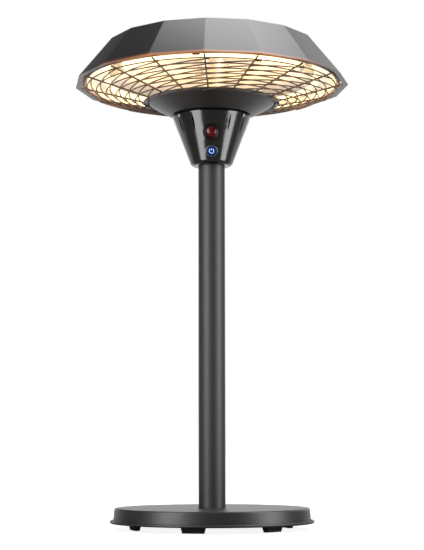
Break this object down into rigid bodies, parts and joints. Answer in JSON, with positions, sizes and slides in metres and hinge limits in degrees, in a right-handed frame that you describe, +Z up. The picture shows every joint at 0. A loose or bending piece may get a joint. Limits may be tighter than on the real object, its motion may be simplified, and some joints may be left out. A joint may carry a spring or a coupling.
{
  "type": "table-top electric patio heater",
  "caption": "Table-top radiant patio heater: round weighted base, straight pole, conical control housing and a faceted canopy over a guarded ring of quartz heating tubes.",
  "frame": {"origin": "on the ground under the pole's axis", "axes": "+Z up along the pole; the receiver window and power button face -Y; +X is to the right seen from the front"},
  "size_m": [0.4994, 0.4994, 0.8995],
  "materials": {
    "black_nylon": "moulded nylon",
    "blue_button": "lit blue cap",
    "board": "glass fibre board",
    "brass": "plain brass",
    "cast_ballast": "rough cast",
    "ceramic": "unglazed steatite",
    "charcoal_coat": "satin anthracite powder coat",
    "concrete": "cast concrete",
    "dark_plastic": "moulded plastic",
    "gloss_black": "glossy moulded black",
    "hot_filament": "glowing coil",
    "lead_black": "rubber sheath",
    "lead_white": "woven glass sleeve",
    "led": "clear plastic",
    "mirror_aluminium": "bright spun aluminium",
    "pale_plastic": "moulded plastic",
    "quartz": "clear quartz tube",
    "red_lens": "clear red plastic",
    "relay_blue": "moulded plastic",
    "rubber": "matt black rubber",
    "satin_dish": "satin dark grey stoved enamel",
    "stainless": "stainless steel",
    "zinc": "zinc plated steel"
  },
  "bodies": {
    "heater": {"base_cover": "charcoal_coat", "base_ballast": "concrete", "base_plate": "zinc", "rubber_feet": "rubber", "foot_screws": "zinc", "base_bolts": "zinc", "bolt_washers": "zinc", "cable_gland": "black_nylon", "gland_nut": "black_nylon", "supply_lead": "lead_black", "pole": "charcoal_coat", "pole_foot_plug": "zinc", "neck_flange": "zinc", "head_pillars": "zinc", "lower_pillar_screws": "zinc", "upper_pillar_screws": "zinc", "control_housing": "gloss_black", "housing_tabs": "zinc", "housing_screws": "stainless", "receiver_bezel": "gloss_black", "receiver_lens": "red_lens", "ir_sensor": "dark_plastic", "button_bezel": "gloss_black", "tact_switch": "dark_plastic", "status_leds": "led", "control_board": "board", "board_screws": "zinc", "terminal_spacers": "zinc", "terminal_block": "ceramic", "terminal_screws": "brass", "block_screws": "zinc", "power_board": "board", "power_board_screws": "zinc", "relays": "relay_blue", "signal_lead": "lead_black", "tilt_switch_case": "dark_plastic", "tilt_switch_pin": "stainless", "hub_dish": "satin_dish", "hub_ring": "charcoal_coat", "guard_screws": "zinc", "guard_rings": "charcoal_coat", "guard_spokes": "charcoal_coat", "guard_spirals": "charcoal_coat", "guard_clips": "stainless", "centre_column": "mirror_aluminium", "reflector": "mirror_aluminium", "reflector_collar": "zinc", "reflector_screws": "stainless", "quartz_tubes": "quartz", "heating_filaments": "hot_filament", "tube_end_caps": "ceramic", "tube_holders": "stainless", "holder_screws": "zinc", "lamp_leads": "lead_white", "canopy": "charcoal_coat", "canopy_studs": "zinc", "cap_nuts": "stainless"},
    "button": {"power_button": "blue_button", "switch_plunger": "pale_plastic"},
    "tilt_weight": {"tilt_switch_weight": "cast_ballast"}
  },
  "joints": [
    {"name": "power_button_press", "type": "slide", "parent": "heater", "child": "button", "axis": [0, 0.9331, 0.3595], "range_m": [0, 0.001], "stiffness_N_per_m": 1200, "springref_m": -0.0008},
    {"name": "tilt_weight_swing", "type": "hinge", "parent": "heater", "child": "tilt_weight", "pos_m": [-0.043, 0.008, 0.73975], "axis": [0, 1, 0], "range_deg": [-12, 12]}
  ]
}
